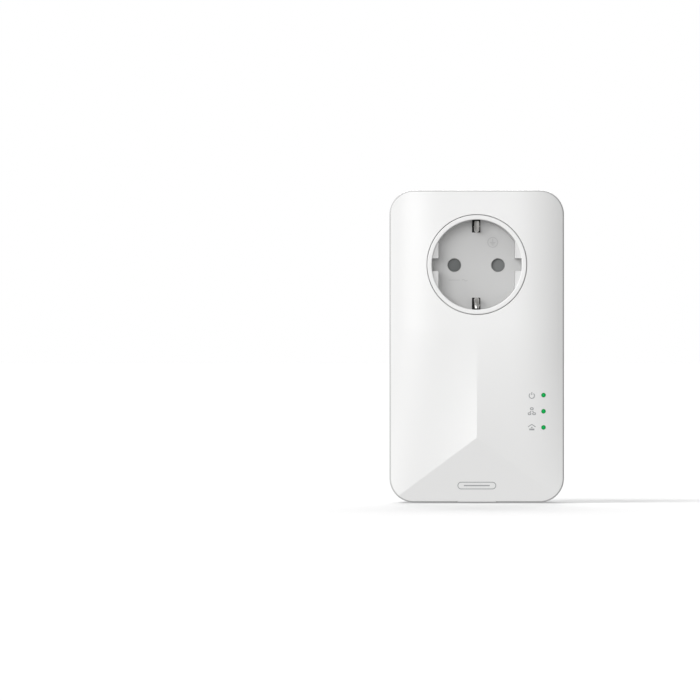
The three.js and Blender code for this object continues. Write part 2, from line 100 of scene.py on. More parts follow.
def addRings(bm, rings, closed=False):
    # rings of equal length joined by quads, with a flat cap at each end or the last joined to the first
    made = [[bm.verts.new(p) for p in ring] for ring in rings]
    count = len(made[0])
    for a, b in zip(made, made[1:] + made[:1] if closed else made[1:]):
        for i in range(count):
            j = (i + 1) % count
            bm.faces.new((a[i], a[j], b[j], b[i]))
    return None if closed else (bm.faces.new(made[0][::-1]), bm.faces.new(made[-1]))


def latheInto(bm, profile, segments, x=0.0, z=0.0):
    # profile of (radius, y), which starts and ends on the axis or closes on itself
    rows = []
    for radius, y in profile:
        if radius < 1e-6:
            rows.append([bm.verts.new((x, y, z))])
            continue
        turn = [2 * math.pi * i / segments for i in range(segments)]
        rows.append([bm.verts.new((x + radius * math.cos(t), y, z + radius * math.sin(t))) for t in turn])
    for a, b in zip(rows, rows[1:]):
        for i in range(segments):
            j = (i + 1) % segments
            corners = [a[i % len(a)], a[j % len(a)], b[j % len(b)], b[i % len(b)]]
            unique = [v for k, v in enumerate(corners) if v not in corners[:k]]
            if len(unique) > 2:
                bm.faces.new(unique)


def prismInto(bm, outline, start, end, axis="y"):
    # an outline drawn in the two other axes, pushed along one axis
    def place(u, v, w):
        return {"x": (w, u, v), "y": (u, w, v), "z": (u, v, w)}[axis]
    addRings(bm, [[place(u, v, w) for u, v in outline] for w in (start, end)])


def boxInto(bm, low, high):
    (x0, y0, z0), (x1, y1, z1) = low, high
    prismInto(bm, [(x0, z0), (x1, z0), (x1, z1), (x0, z1)], y0, y1)


def arcPoints(cx, cy, radius, first, last, steps=4):
    angles = [math.radians(first + (last - first) * i / steps) for i in range(steps + 1)]
    return [(cx + radius * math.cos(a), cy + radius * math.sin(a)) for a in angles]


def roundedBox(halfU, halfV, radius, steps=5, u=0.0, v=0.0):
    points = []
    for su, sv, first in ((1, 1, 0), (-1, 1, 90), (-1, -1, 180), (1, -1, 270)):
        cu, cv = u + su * (halfU - radius), v + sv * (halfV - radius)
        points += arcPoints(cu, cv, radius, first, first + 90, steps)
    return points


def circle(radius, count, u=0.0, v=0.0):
    turn = [2 * math.pi * i / count for i in range(count)]
    return [(u + radius * math.cos(t), v + radius * math.sin(t)) for t in turn]


def evaluated(obj):
    # the object's mesh with its modifiers in it, as a plain mesh
    bpy.context.view_layer.update()
    graph = bpy.context.evaluated_depsgraph_get()
    mesh = bpy.data.meshes.new_from_object(obj.evaluated_get(graph), depsgraph=graph)
    obj.modifiers.clear()
    old, obj.data = obj.data, mesh
    mesh.name = obj.name
    bpy.data.meshes.remove(old)
    return obj


def inTriangles(obj):
    bm = bmesh.new()
    bm.from_mesh(obj.data)
    bmesh.ops.triangulate(bm, faces=bm.faces)
    bm.to_mesh(obj.data)
    bm.free()
    return obj


def cutWith(obj, cutter, operation="DIFFERENCE"):
    inTriangles(obj)
    inTriangles(cutter)
    cut = obj.modifiers.new("cut", "BOOLEAN")
    cut.operation = operation
    cut.object = cutter
    cut.solver = "MANIFOLD"
    evaluated(obj)
    bpy.data.objects.remove(cutter)
    if not len(obj.data.polygons):
        raise RuntimeError(f"{obj.name}: nothing left after a cut")
    return obj


def bevelEdges(obj, width, segments=2, angle=30):
    bevel = obj.modifiers.new("bevel", "BEVEL")
    bevel.width = width * mm
    bevel.segments = segments
    bevel.limit_method = "ANGLE"
    bevel.angle_limit = math.radians(angle)
    return evaluated(obj)


def smooth(obj, angle=30):
    obj.data.shade_smooth()
    obj.data.set_sharp_from_angle(angle=math.radians(angle))
    normals = obj.modifiers.new("normals", "WEIGHTED_NORMAL")
    normals.keep_sharp = True
    return evaluated(obj)


def oneMaterial(obj, finish):
    obj.data.materials.clear()
    obj.data.materials.append(finish)
    for face in obj.data.polygons:
        face.material_index = 0
    return obj


def paintShade(obj, amountAt):
    # painted shade: a value for every face of the mesh, which the material turns into a darker colour
    # standing in for shade
    layer = obj.data.attributes.new("dimmed", "FLOAT", "FACE")
    layer.data.foreach_set("value", [amountAt(face.center / mm) for face in obj.data.polygons])
    return obj


def dress(obj, finish, angle=30, tone=None):
    # a tone, when given, lays painted shade on the faces
    smooth(oneMaterial(obj, finish), angle)
    return paintShade(obj, tone) if tone else obj


def finishPiece(obj, body, slotName, *nodes):
    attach(obj, body)
    if nodes:
        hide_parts(*nodes)
    return obj


def mathNode(tree, operation, *values):
    node = tree.nodes.new("ShaderNodeMath")
    node.operation = operation
    for socket, value in zip(node.inputs, values):
        if isinstance(value, (int, float)):
            socket.default_value = value
        else:
            tree.links.new(value, socket)
    return node.outputs[0]


def repeatTree():
    tree = bpy.data.node_groups.new("rowsOfPieces", "GeometryNodeTree")
    sockets = {"Geometry": "Geometry", "Piece": "Object", "Columns": "Int", "Rows": "Int",
               "Column pitch": "Float", "Row pitch": "Float", "Finish": "Material"}
    for name, kind in sockets.items():
        tree.interface.new_socket(name, in_out="INPUT", socket_type="NodeSocket" + kind)
    tree.interface.new_socket("Geometry", in_out="OUTPUT", socket_type="NodeSocketGeometry")
    link = tree.links.new
    given = tree.nodes.new("NodeGroupInput")
    result = tree.nodes.new("NodeGroupOutput")

    def centred(place, count):
        last = mathNode(tree, "SUBTRACT", count, 1)
        return mathNode(tree, "SUBTRACT", place, mathNode(tree, "DIVIDE", last, 2))

    index = tree.nodes.new("GeometryNodeInputIndex").outputs[0]
    columns, rows = given.outputs["Columns"], given.outputs["Rows"]
    column = mathNode(tree, "FLOORED_MODULO", index, columns)
    row = mathNode(tree, "FLOOR", mathNode(tree, "DIVIDE", index, columns))
    across = centred(column, columns)
    along = centred(row, rows)
    place = tree.nodes.new("ShaderNodeCombineXYZ")
    link(mathNode(tree, "MULTIPLY", across, given.outputs["Column pitch"]), place.inputs[0])
    link(mathNode(tree, "MULTIPLY", along, given.outputs["Row pitch"]), place.inputs[1])
    points = tree.nodes.new("GeometryNodePoints")
    link(mathNode(tree, "MULTIPLY", columns, rows), points.inputs["Count"])
    link(place.outputs[0], points.inputs["Position"])
    piece = tree.nodes.new("GeometryNodeObjectInfo")
    link(given.outputs["Piece"], piece.inputs["Object"])
    copies = tree.nodes.new("GeometryNodeInstanceOnPoints")
    link(points.outputs[0], copies.inputs["Points"])
    link(piece.outputs["Geometry"], copies.inputs["Instance"])
    real = tree.nodes.new("GeometryNodeRealizeInstances")
    link(copies.outputs[0], real.inputs[0])
    paint = tree.nodes.new("GeometryNodeSetMaterial")
    link(real.outputs[0], paint.inputs["Geometry"])
    link(given.outputs["Finish"], paint.inputs["Material"])
    link(paint.outputs[0], result.inputs[0])
    return tree


rowsOfPieces = repeatTree()


def setOut(name, piece, columns, rows, columnPitch, rowPitch, finish=None, place=None):
    # copies of a piece in rows, drawn flat and then moved to their place
    obj = bpy.data.objects.new(name, bpy.data.meshes.new(name))
    bpy.context.scene.collection.objects.link(obj)
    modifier = obj.modifiers.new("rows", "NODES")
    modifier.node_group = rowsOfPieces
    values = {"Piece": piece, "Columns": columns, "Rows": rows, "Column pitch": columnPitch * mm,
              "Row pitch": rowPitch * mm, "Finish": finish}
    for item in rowsOfPieces.interface.items_tree:
        if item.in_out == "INPUT" and item.name in values:
            modifier[item.identifier] = values[item.name]
    evaluated(obj)
    bpy.data.objects.remove(piece)
    if place is not None:
        obj.data.transform(place)
    return obj


def grainGroup():
    # a fine moulded grain, and a slow drift of tone and gloss
    tree = bpy.data.node_groups.new("mouldedGrain", "ShaderNodeTree")
    face = tree.interface
    sockets = [("Grain size", 0.00035), ("Drift size", 0.03), ("Roughness", 0.45), ("Roughness drift", 0.04)]
    for name, value in sockets:
        face.new_socket(name, in_out="INPUT", socket_type="NodeSocketFloat").default_value = value
    for name in ("Base", "Shade"):
        face.new_socket(name, in_out="INPUT", socket_type="NodeSocketColor")
    for name, kind in (("Colour", "Color"), ("Roughness", "Float"), ("Height", "Float")):
        face.new_socket(name, in_out="OUTPUT", socket_type="NodeSocket" + kind)
    link = tree.links.new
    given = tree.nodes.new("NodeGroupInput")
    result = tree.nodes.new("NodeGroupOutput")
    where = tree.nodes.new("ShaderNodeTexCoord").outputs["Object"]

    def noise(size, detail):
        node = tree.nodes.new("ShaderNodeTexNoise")
        node.inputs["Detail"].default_value = detail
        link(where, node.inputs["Vector"])
        link(mathNode(tree, "DIVIDE", 1, size), node.inputs["Scale"])
        return node.outputs["Fac"]

    drift = noise(given.outputs["Drift size"], 3)
    mix = tree.nodes.new("ShaderNodeMix")
    mix.data_type = "RGBA"
    link(drift, mix.inputs["Factor"])
    link(given.outputs["Base"], mix.inputs["A"])
    link(given.outputs["Shade"], mix.inputs["B"])
    link(mix.outputs["Result"], result.inputs["Colour"])
    spread = mathNode(tree, "MULTIPLY_ADD", drift, given.outputs["Roughness drift"],
                      given.outputs["Roughness"])
    link(spread, result.inputs["Roughness"])
    link(noise(given.outputs["Grain size"], 2), result.inputs["Height"])
    return tree


mouldedGrain = grainGroup()


def material(name, base, shade, roughness=0.45, drift=0.05, grain=0.35, bump=0.006, metallic=0.0,
             dimmed=None, **sockets):
    # grain and bump in millimetres; the colour of painted shade is reached at full strength of the piece's
    # own painted-shade value
    made = bpy.data.materials.new(name)
    made.use_nodes = True
    tree = made.node_tree
    shader = tree.nodes["Principled BSDF"]
    group = tree.nodes.new("ShaderNodeGroup")
    group.node_tree = mouldedGrain
    group.inputs["Base"].default_value = (*base, 1)
    group.inputs["Shade"].default_value = (*shade, 1)
    group.inputs["Roughness"].default_value = roughness
    group.inputs["Roughness drift"].default_value = drift
    group.inputs["Grain size"].default_value = grain * mm
    tree.links.new(group.outputs["Colour"], shader.inputs["Base Color"])
    # painted shade: the piece's own value mixes the base colour towards the shade colour
    if dimmed:
        amount = tree.nodes.new("ShaderNodeAttribute")
        amount.attribute_name = "dimmed"
        mix = tree.nodes.new("ShaderNodeMix")
        mix.data_type = "RGBA"
        mix.inputs["B"].default_value = (*dimmed, 1)
        tree.links.new(amount.outputs["Fac"], mix.inputs["Factor"])
        tree.links.new(group.outputs["Colour"], mix.inputs["A"])
        tree.links.new(mix.outputs["Result"], shader.inputs["Base Color"])
    tree.links.new(group.outputs["Roughness"], shader.inputs["Roughness"])
    relief = tree.nodes.new("ShaderNodeBump")
    relief.inputs["Strength"].default_value = 1.0
    relief.inputs["Distance"].default_value = bump * mm
    tree.links.new(group.outputs["Height"], relief.inputs["Height"])
    tree.links.new(relief.outputs["Normal"], shader.inputs["Normal"])
    shader.inputs["Metallic"].default_value = metallic
    for socket, value in sockets.items():
        shader.inputs[socket.replace("_", " ").title().replace("Ior", "IOR")].default_value = value
    return made


# the colour of painted shade in hollows, edges and inside the casing
paintedShadeColour = (0.03, 0.03, 0.031)
finishes = {
    "casing_white": material("casingSatin", (0.84, 0.84, 0.835), (0.82, 0.82, 0.815), 0.27, 0.03,
                             dimmed=paintedShadeColour),
    "socket_white": material("socketSatin", (0.86, 0.86, 0.855), (0.84, 0.84, 0.835), 0.36, 0.05,
                             dimmed=paintedShadeColour),
    "shutter_grey": material("shutterGrey", (0.23, 0.24, 0.24), (0.2, 0.21, 0.21), 0.45, 0.06),
    "steel": material("zincSteel", (0.62, 0.63, 0.65), (0.52, 0.53, 0.56), 0.28, 0.14, 0.5, 0.004, 1.0),
    "dark_steel": material("dullSteel", (0.10, 0.10, 0.105), (0.07, 0.07, 0.075), 0.55, 0.1, 0.5, 0.004, 0.6),
    "nickel": material("nickelPlate", (0.78, 0.77, 0.75), (0.70, 0.69, 0.67), 0.27, 0.05, 0.6, 0.001, 1.0),
    "brass": material("goldBrass", (0.86, 0.62, 0.26), (0.74, 0.5, 0.2), 0.24, 0.1, 0.4, 0.002, 1.0),
    "carrier_cream": material("carrierCream", (0.78, 0.75, 0.67), (0.72, 0.69, 0.6), 0.55, 0.08),
    "board_green": material("solderMask", (0.02, 0.13, 0.06), (0.03, 0.2, 0.08), 0.3, 0.1, 0.8, 0.01),
    "black_plastic": material("blackMoulding", (0.02, 0.02, 0.022), (0.035, 0.035, 0.037), 0.45, 0.12),
    "jack_grey": material("jackGrey", (0.10, 0.105, 0.11), (0.13, 0.135, 0.14), 0.42, 0.08),
    "ferrite": material("ferriteDark", (0.05, 0.05, 0.055), (0.09, 0.09, 0.09), 0.6, 0.15, 0.5, 0.02),
    "capacitor_yellow": material("boxYellow", (0.72, 0.5, 0.06), (0.65, 0.44, 0.05), 0.4, 0.08),
    "varistor_blue": material("epoxyBlue", (0.03, 0.10, 0.40), (0.02, 0.08, 0.32), 0.25, 0.1, 0.7, 0.02),
    "coupler_red": material("couplerRed", (0.34, 0.06, 0.04), (0.28, 0.05, 0.03), 0.4, 0.08),
    "sink_aluminium": material("finAluminium", (0.55, 0.56, 0.57), (0.47, 0.48, 0.5), 0.35, 0.12, 0.4, 0.004,
                               1.0),
    "led_green": material("chipGreen", (0.05, 0.6, 0.2), (0.04, 0.5, 0.16), 0.3, 0.06),
    "guide_clear": material("litGreen", (0.0, 0.3, 0.06), (0.0, 0.26, 0.05), 0.3, 0.06,
                            specular_ior_level=0.12, emission_color=(0.0, 0.36, 0.07, 1),
                            emission_strength=0.35),
    "label_grey": material("labelFilm", (0.66, 0.67, 0.68), (0.62, 0.63, 0.64), 0.5, 0.08, 0.2, 0.002),
}
inkGrey = material("inkGrey", (0.36, 0.37, 0.375), (0.33, 0.34, 0.345), 0.5, 0.06)
print("materials made:", len(bpy.data.materials))


def crown(x, z):
    # how far the front stands in front of its edge
    side = min(abs(x), halfWidth)
    above = z - bottomZ
    roof = casing["crown"] * (1 - side / halfWidth)
    diagonal = casing["roofPeak"] * (1 - side / halfWidth)
    if above < diagonal:
        return max(0.0, casing["crown"] * above / casing["roofPeak"])
    roll = max(0.0, side - casing["rollStart"]) / (halfWidth - casing["rollStart"])
    plateau = casing["crown"] * (1 - roll ** 4)
    share = max(0.0, (casing["roofEnd"] - above) / (casing["roofEnd"] - diagonal)) ** 1.25
    return plateau + (roof - plateau) * share


rollLines = [casing["rollStart"] + 1.25 * i for i in range(23)]
linesX = sorted({s * x for x in [0, 0.7, 1.6, 3, 5, 7.5, *rollLines] for s in (-1, 1)})
linesZ = [bottomZ + 2.43 + 2.72 * i for i in range(49)]
grooveEnds = [bottomZ + h for h in (12.0, 24.6, 30.9)]


def outline(inset, pointsX=tuple(linesX), pointsZ=(*linesZ, *grooveEnds)):
    # the rounded outline, with the same number of points at every inset
    r = casing["cornerRadius"]
    x0, z0, z1 = halfWidth - r, bottomZ + r, topZ - r
    alongZ = sorted({z for z in pointsZ if z0 + 0.2 < z < z1 - 0.2})
    alongX = [x for x in pointsX if abs(x) < x0 - 0.2]
    points = [(halfWidth - inset, z) for z in alongZ]

    def corner(cx, cz, first):
        points.extend(arcPoints(cx, cz, r - inset, first, first + 90, casing["cornerSteps"]))

    corner(x0, z1, 0)
    points.extend((x, topZ - inset) for x in reversed(alongX))
    corner(-x0, z1, 90)
    points.extend((-halfWidth + inset, z) for z in reversed(alongZ))
    corner(-x0, z0, 180)
    points.extend((x, bottomZ + inset) for x in alongX)
    corner(x0, z0, 270)
    return points


def taperAt(depth):
    return casing["taper"] * max(0.0, depth) / casing["depth"]


def ringAt(depth, inset=0.0, *points):
    return [(x, edgeY + depth, z) for x, z in outline(inset + taperAt(depth), *points)]


def crownedRing(inset, behind, offset=0.0):
    return [(x, edgeY - crown(x, z) + behind + offset, z) for x, z in outline(inset)]


def splitFace(bm, point, normal, keep=lambda face: True):
    faces = [f for f in bm.faces if f.material_index == 1 and keep(f)]
    geometry = list({e for f in faces for e in (*f.verts, *f.edges, f)})
    bmesh.ops.bisect_plane(bm, geom=geometry, plane_co=point, plane_no=normal, dist=1e-5)


def crownedSolid(name, inset, rings, offset=0.0, round=0.0):
    # a solid whose front is the crowned face and whose sides run back through the rings
    bm = bmesh.new()
    front = [crownedRing(inset + round * (1 - math.sin(a)), round * (1 - math.cos(a)), offset)
             for a in (math.radians(i) for i in ((0, 30, 60, 90) if round else (0,)))]
    addRings(bm, front + rings)[0].material_index = 1
    for x in linesX:
        splitFace(bm, (x, 0, 0), (1, 0, 0))
    for z in linesZ:
        splitFace(bm, (0, 0, z), (0, 0, 1))
    peak = bottomZ + casing["roofPeak"]
    splitFace(bm, (0, 0, peak), (0, 0, 1))
    for side in (-1, 1):
        slope = Vector((casing["roofPeak"], 0, side * halfWidth))
        splitFace(bm, (0, 0, peak), slope, lambda f: f.calc_center_median().x * side > 0
                  and f.calc_center_median().z < peak)
    for vert in {v for f in bm.faces if f.material_index == 1 for v in f.verts}:
        vert.co.y = edgeY - crown(vert.co.x, vert.co.z) + offset
    for face in bm.faces:
        face.material_index = 0
    return meshObject(name, bm)


def plainSolid(name, rings):
    bm = bmesh.new()
    addRings(bm, rings)
    return meshObject(name, bm)


cover = {
    "grooves": [2.8, 5.1, 7.5, 9.9, 12.4],
    "brokenGrooves": {7.5: 24.6, 9.9: 30.9, 12.4: 24.6},
    "brokenFrom": 12.0,
    "grooveWidth": 0.36,
    "grooveDepth": 0.4,
    "slotRows": {5.1: 0, 7.5: 1, 9.9: 2},
    "slotCount": 8,
    "slotLength": 9.2,
    "slotWidth": 0.85,
    "slotPitch": 13.6,
    "slotMiddle": 66.35,
    "endSlotRows": [2.8, 5.1],
    "endSlotPitch": 20.0,
    "socketHole": 21.78,
    "lightHole": 1.0,
    "mark": (8.3, 0.3),
    "rimWidth": 0.58,
    "rings": (1.6, 3.95, 6.3, 8.7, 11.6),
    "resetHole": 0.75,
    "resetAt": (10.6, 27.5),
}
# the button, with its depth behind the edge and height above the bottom
button = {
    "depth": 11.05,
    "height": 18.6,
    "halfDepth": 2.9,
    "halfHeight": 4.35,
    "slant": 1.1,
    "gap": 0.25,
    "slantGap": 0.05,
    "edge": 0.3,
    "flange": 1.0,
    "ring": 1.0,
    "ringShift": 0.72,
}
# how strongly painted shade darkens each place
paintedShades = {
    "rim": 0.36,
    "seam": 0.3,
    "holeWall": 0.9,
    "inside": 1.0,
    "pinHole": 0.48,
    "sign": 0.31,
    "well": 0.19,
}
guideLow, guideHigh = nodeBox("light_guide")
jackLow, jackHigh = nodeBox("ethernet_jack")
lightX = (guideLow.x + guideHigh.x) / 2
lightZ = [bottomZ + h for h in (46.5, 39.5, 32.5)]
screwNodes = [f"case_screw_{i}" for i in (1, 2, 3, 4)]
screwAt = [((low.x + high.x) / 2, (low.z + high.z) / 2) for low, high in map(nodeBox, screwNodes)]


def grooveCutter(depth, skipFrom=None, skipTo=None):
    # a thin bar that follows the outline, whole or broken beside the button
    inner = outline(cover["grooveDepth"] + taperAt(depth))
    outer = outline(-0.5 + taperAt(depth))
    order = list(range(len(inner)))
    if skipFrom is not None:
        end, start = (min(i for i in order if inner[i][0] > halfWidth - 3 and abs(inner[i][1] - z) < 0.01)
                      for z in (skipFrom, skipTo))
        order = order[start:] + order[:end + 1]
    half = cover["grooveWidth"] / 2
    bm = bmesh.new()
    rows = []
    for i in order:
        (xi, zi), (xo, zo) = inner[i], outer[i]
        y, narrow = edgeY + depth, half * 0.6
        rows.append([(xi, y - narrow, zi), (xo, y - half, zo), (xo, y + half, zo), (xi, y + narrow, zi)])
    addRings(bm, rows, skipFrom is None)
    return meshObject("groove", bm)


lean = math.atan(casing["taper"] / casing["depth"])


def sidePlace(side, depth, z):
    # takes a flat layout (x along the casing's height, y along its depth) to a side wall
    frameRows = Matrix(((0, 0, 1, 0), (0, 1, 0, 0), (1, 0, 0, 0), (0, 0, 0, 1)))
    turn = Matrix.Rotation(lean * side, 4, "Z")
    move = Matrix.Translation(Vector((side * (halfWidth - taperAt(depth)), edgeY + depth, z)) * mm)
    return move @ turn @ frameRows


def endPlace(end, depth):
    # takes a flat layout (x across, y along the depth) to the bottom or top end
    z = bottomZ + taperAt(depth) if end < 0 else topZ - taperAt(depth)
    turn = Matrix.Rotation(-lean * end, 4, "X")
    return Matrix.Translation(Vector((0, edgeY + depth, z)) * mm) @ turn


def cutRows(body, outlinePoints, columns, rows, columnPitch, rowPitch, place):
    # rows of holes of one outline, set out flat and taken to their wall
    bm = bmesh.new()
    prismInto(bm, outlinePoints, -3, 3, "z")
    cutWith(body, setOut("holes", meshObject("hole", bm), columns, rows, columnPitch, rowPitch, place=place))


def insetOf(point):
    # how far a point stands inside the casing's outline at its depth, up to the corner radius
    r = casing["cornerRadius"]
    across = max(0.0, abs(point.x) - (halfWidth - r))
    along = max(0.0, abs(point.z - middleZ) - (topZ - middleZ - r))
    return r - math.hypot(across, along) - taperAt(point.y - edgeY)


def coverShade(point):
    # painted shade: the rounded edge of the front is painted a little darker, save above the port, and the
    # inside is painted darker still
    inset = insetOf(point)
    behind = point.y - (edgeY - crown(point.x, point.z))
    if behind < casing["edgeRound"] + 0.05 and inset < cover["rimWidth"]:
        plain = point.z < bottomZ + 3 and abs(point.x) < cover["mark"][0]
        return 0.0 if plain else paintedShades["rim"]
    if inset < 0.45 or math.hypot(point.x, point.z) < cover["socketHole"] + 0.3:
        return 0.0
    return 0.0 if behind < 1.6 else wallShade(point, inset)


def wallShade(point, inset):
    # painted shade: the seam is painted as a soft darker line, the holes' walls are painted darker and the
    # inside darker still
    if abs(point.y - edgeY - casing["seamDepth"]) < 0.4 and inset < casing["wall"] - 0.1:
        return paintedShades["seam"]
    return paintedShades["inside"] if inset > casing["wall"] - 0.1 else paintedShades["holeWall"]


def housingShade(point):
    # painted shade: the walls of the holes are painted dimmer and the inside is painted darker still
    inset = insetOf(point)
    toScrew = min(math.hypot(point.x - x, point.z - z) for x, z in screwAt)
    atScrew = toScrew < housing["screwWell"] + 0.2 and point.y > backY - housing["screwWellDepth"] - 1
    atPlug = (math.hypot(point.x, point.z) < housing["plugHole"] + 0.4
              and point.y > backY - casing["wall"] - 0.3)
    if inset < 0.3 or point.y > backY - 0.6 or atScrew or atPlug:
        return 0.0
    return wallShade(point, inset)


def buttonOutline(gap=0.0, slantGap=0.0):
    # the button's outline with two cut corners, in depth and height, or its hole's with a gap all round
    y, z = edgeY + button["depth"], bottomZ + button["height"]
    halfY, halfZ, slant = button["halfDepth"] + gap, button["halfHeight"] + gap, button["slant"] + slantGap
    y0, y1, z0, z1 = y - halfY, y + halfY, z - halfZ, z + halfZ
    return [(y0, z0 + slant), (y0 + slant, z0), (y1, z0), (y1, z1), (y0 + slant, z1), (y0, z1 - slant)]


def frontCover():
    seam = casing["seamDepth"] - casing["seamGap"] / 2
    edge = casing["seamRound"]
    rings = [ringAt(depth) for depth in (*cover["rings"], seam - edge)] + [ringAt(seam, edge)]
    body = crownedSolid("frontCover", 0, rings, round=casing["edgeRound"])
    wall = casing["wall"]
    inside = crownedSolid("inside", wall, [ringAt(2, wall), ringAt(seam + 2, wall)], casing["plate"])
    cutWith(body, inside)
    for depth in cover["grooves"]:
        broken = cover["brokenGrooves"].get(depth)
        if broken:
            cutWith(body, grooveCutter(depth, bottomZ + cover["brokenFrom"], bottomZ + broken))
        else:
            cutWith(body, grooveCutter(depth))
    bm = bmesh.new()
    hole = cover["socketHole"]
    latheInto(bm, [(0, ringY - 2), (hole + 2.1, ringY - 2), (hole + 0.1, ringY), (hole, ringY + 0.1),
                   (hole, edgeY + 4), (0, edgeY + 4)], 160)
    for z in lightZ:
        latheInto(bm, [(0, ringY - 2), (cover["lightHole"], ringY - 2), (cover["lightHole"], edgeY + 4),
                       (0, edgeY + 4)], 32, lightX, z)
    port = jackHigh.x + casing["portGap"]
    boxInto(bm, (-port, jackLow.y - casing["portGap"], bottomZ - 1),
            (port, edgeY + seam + 1, bottomZ + casing["portDepth"]))
    across, width = cover["mark"]
    for side in (-1, 1):  # the ends of the plain stretch above the port
        boxInto(bm, (side * across - width / 2, ringY - 1, bottomZ - 1),
                (side * across + width / 2, edgeY + 1.6, bottomZ + 0.5))
    prismInto(bm, buttonOutline(button["gap"], button["slantGap"]), halfWidth - 4, halfWidth + 1, "x")
    depth, height = cover["resetAt"]
    resetHole = circle(cover["resetHole"], 24, edgeY + depth, bottomZ + height)
    prismInto(bm, resetHole, halfWidth - 4, halfWidth + 1, "x")
    cutWith(body, meshObject("holes", bm))
    half = cover["slotWidth"] / 2
    slot = roundedBox(cover["slotLength"] / 2, half, half - 0.01, 4)
    for side in (-1, 1):
        for depth, first in cover["slotRows"].items():
            count = cover["slotCount"] - first
            z = bottomZ + cover["slotMiddle"] + cover["slotPitch"] * first / 2
            cutRows(body, slot, count, 1, cover["slotPitch"], 1, sidePlace(side, depth, z))
    for depth in cover["endSlotRows"]:
        cutRows(body, slot, 3, 1, cover["endSlotPitch"], 1, endPlace(-1, depth))
    dress(body, finishes["casing_white"], 3.5, coverShade)
    return finishPiece(body, "root", "casing_white", "front_cover")


housing = {
    "holeRadius": 0.56,
    "holeSides": 10,
    "pitch": 2.62,
    "sideColumns": 42,
    "sideRows": 7,
    "endPitch": 2.7,
    "endColumns": 19,
    "endRows": 4,
    "firstSideRow": 18.0,
    "firstEndRow": 26.1,
    "sleeve": 4.4,
    "screwHole": 1.8,
    "screwWell": 3.2,
    "screwWellDepth": 10.0,
    "plugHole": 19.1,
    "plugHoleFlare": 1.25,
    "label": {"gap": 0.25, "depth": 0.45, "corner": 0.9},
}
# the housing's own lines, each midway between two rows of holes
housingX = [housing["endPitch"] * (i - 9.5) for i in range(20)]
housingZ = [middleZ + housing["pitch"] * (i - 21) for i in range(43)]
housingDepths = [housing["firstSideRow"] + housing["pitch"] * (i - 0.5) for i in range(8)]


def rearHousing():
    seam = casing["seamDepth"] + casing["seamGap"] / 2
    deep, wall = casing["depth"], casing["wall"]
    edge = casing["seamRound"]
    places = [(seam, edge), (seam + edge, 0), *((depth, 0) for depth in housingDepths), (deep - 0.45, 0),
              (deep - 0.13, 0.13), (deep, 0.45)]
    body = plainSolid("rearHousing", [ringAt(depth, inset, housingX, housingZ) for depth, inset in places])
    places = [seam - 2, *housingDepths[:-1], deep - wall]
    cutWith(body, plainSolid("inside", [ringAt(depth, wall, housingX, housingZ) for depth in places]))
    bm = bmesh.new()
    radius = housing["sleeve"]
    sleeve = [(0, edgeY + seam), (radius, edgeY + seam), (radius, backY - 1), (0, backY - 1)]
    for x, z in screwAt:
        latheInto(bm, sleeve, 32, x, z)
    cutWith(body, meshObject("sleeves", bm), "UNION")
    bm = bmesh.new()
    hole, well, wellStart = housing["screwHole"], housing["screwWell"], backY - housing["screwWellDepth"]
    for x, z in screwAt:
        latheInto(bm, [(0, edgeY + seam - 1), (hole, edgeY + seam - 1), (hole, wellStart), (well, wellStart),
                       (well, backY - 0.3), (well + 1.3, backY + 1), (0, backY + 1)], 32, x, z)
    hole = housing["plugHole"]
    latheInto(bm, [(0, backY - 5), (hole, backY - 5), (hole, backY - 0.25),
                   (hole + housing["plugHoleFlare"], backY + 1), (0, backY + 1)], 128)
    port = jackHigh.x + casing["portGap"]
    boxInto(bm, (-port, edgeY + seam - 1, bottomZ - 1),
            (port, jackHigh.y + casing["portGap"], bottomZ + casing["portDepth"]))
    low, high = nodeBox("rating_label")
    label = housing["label"]
    halfX, halfZ = (high.x - low.x) / 2 + label["gap"], (high.z - low.z) / 2 + label["gap"]
    labelOutline = roundedBox(halfX, halfZ, label["corner"], 5, (low.x + high.x) / 2, (low.z + high.z) / 2)
    prismInto(bm, labelOutline, backY - label["depth"], backY + 1)
    cutWith(body, meshObject("holes", bm))
    hole, pitch = circle(housing["holeRadius"], housing["holeSides"]), housing["pitch"]
    middleDepth = housing["firstSideRow"] + pitch * (housing["sideRows"] - 1) / 2
    for side in (-1, 1):
        cutRows(body, hole, housing["sideColumns"], housing["sideRows"], pitch, pitch,
                sidePlace(side, middleDepth, middleZ))
    pitch = housing["endPitch"]
    middleDepth = housing["firstEndRow"] + pitch * (housing["endRows"] - 1) / 2
    for end in (-1, 1):
        cutRows(body, hole, housing["endColumns"], housing["endRows"], pitch, pitch,
                endPlace(end, middleDepth))
    dress(body, finishes["casing_white"], 20, housingShade)
    return finishPiece(body, "root", "casing_white", "rear_housing")


frontCover()
rearHousing()
print("casing made")


socket = {
    "ringOuter": 21.5,
    "well": 19.5,
    "wellDepth": 17.5,
    "floor": 2.0,
    "collar": 24.4,
    "pinX": 9.5,
    "pinHole": 2.83,
    "guideInset": 16.6,
    "channel": 5.5,
    "clipSlot": 3.65,
    "clipSlotInner": 14.2,
    "clipSlotOuter": 21.1,
    "clipSlotFront": 1.8,
    "body": 20.9,
    "collarFront": 2.5,
    "collarBack": 3.8,
    "ringRound": 0.3,
    "wellRound": 0.35,
    "floorRound": 0.5,
    "pinHoleFlare": 1.2,
    "guideFront": 1.0,
    "guideEdge": 0.25,
}
floorY = ringY + socket["wellDepth"]


